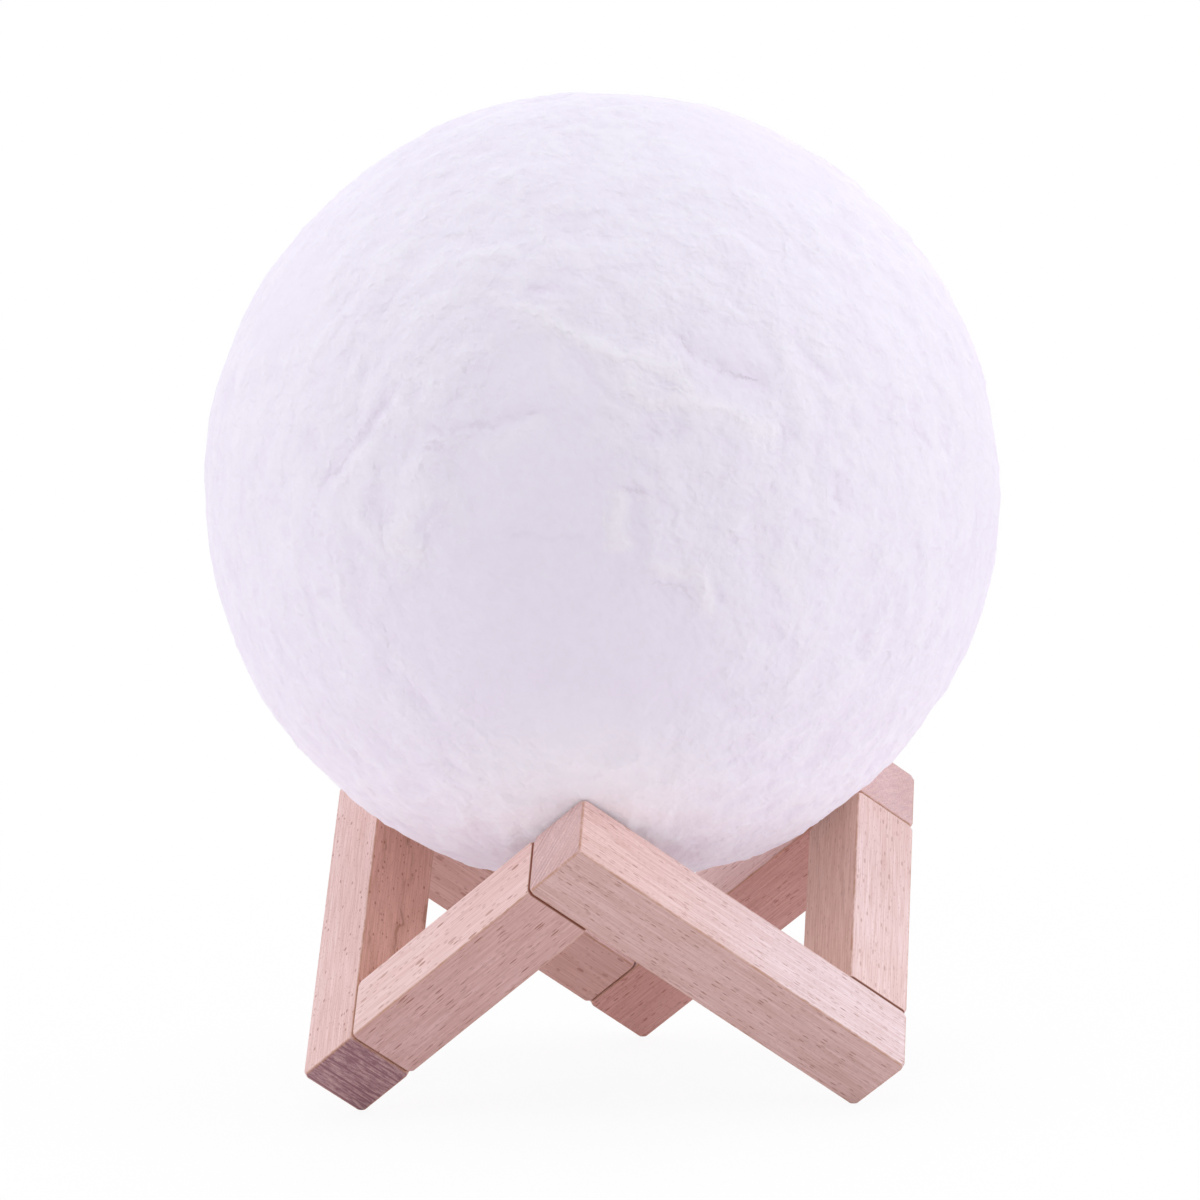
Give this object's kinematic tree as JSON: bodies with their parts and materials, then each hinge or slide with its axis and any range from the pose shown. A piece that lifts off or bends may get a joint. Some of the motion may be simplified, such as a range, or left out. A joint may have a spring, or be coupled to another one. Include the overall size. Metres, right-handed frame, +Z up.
{
  "type": "moon lamp",
  "caption": "Round table lamp: a hollow white globe with a rough moon-like surface on a zigzag cradle of square wooden sticks, lit from a cap in its underside.",
  "frame": {"origin": "on the surface that the cradle stands on, below the middle of the globe", "axes": "+Z up, -Y the front, where one raised tip of the cradle points"},
  "size_m": [0.1484, 0.1484, 0.1876],
  "materials": {
    "beech": "fine sanded, unvarnished",
    "dowel_wood": "raw",
    "moon_plastic": "matt, translucent printed layers",
    "white_plastic": "fine texture",
    "button_plastic": "smooth",
    "screw_steel": "zinc plated",
    "green_board": "solder mask",
    "white_board": "solder mask",
    "pouch_foil": "satin foil",
    "black_foam": "open foam",
    "ivory_plastic": "smooth",
    "black_wire": "smooth",
    "red_wire": "smooth",
    "white_wire": "smooth",
    "black_plastic": "moulded",
    "tan_ceramic": "ceramic",
    "socket_steel": "nickel plated",
    "indicator_plastic": "clear",
    "clear_plastic": "clear",
    "light_package_plastic": "white",
    "light_lens_resin": "phosphor resin"
  },
  "bodies": {
    "cradle": {"left_stick": "beech", "front_right_stick": "beech", "rear_right_stick": "beech", "front_left_stick": "beech", "right_stick": "beech", "rear_left_stick": "beech", "corner_dowels": "dowel_wood"},
    "globe": {"moon_shell": "moon_plastic", "base_cap": "white_plastic", "lamp_housing": "white_plastic", "housing_screws": "screw_steel", "light_board_screws": "screw_steel", "main_board": "green_board", "battery_guard_board": "green_board", "light_board": "white_board", "battery_cell": "pouch_foil", "battery_pads": "black_foam", "battery_socket": "ivory_plastic", "battery_plug": "ivory_plastic", "light_socket": "ivory_plastic", "light_plug": "ivory_plastic", "battery_wire_black": "black_wire", "battery_wire_red": "red_wire", "light_wires": "white_wire", "control_chip": "black_plastic", "charge_chip": "black_plastic", "resistors": "black_plastic", "capacitors": "tan_ceramic", "usb_shell": "socket_steel", "usb_tongue": "black_plastic", "switch_body": "black_plastic", "charge_indicator": "indicator_plastic", "light_pipe": "clear_plastic", "light_packages": "light_package_plastic", "light_lenses": "light_lens_resin"},
    "button": {"power_button": "button_plastic", "switch_plunger": "black_plastic"}
  },
  "joints": [
    {"name": "globe_lift", "type": "slide", "parent": "cradle", "child": "globe", "axis": [0, 0, 1], "range_m": [0, 0.07]},
    {"name": "button_press", "type": "slide", "parent": "globe", "child": "button", "axis": [0, 0, 1], "range_m": [0, 0.0008], "stiffness_N_per_m": 2000, "springref_m": -0.0005}
  ]
}
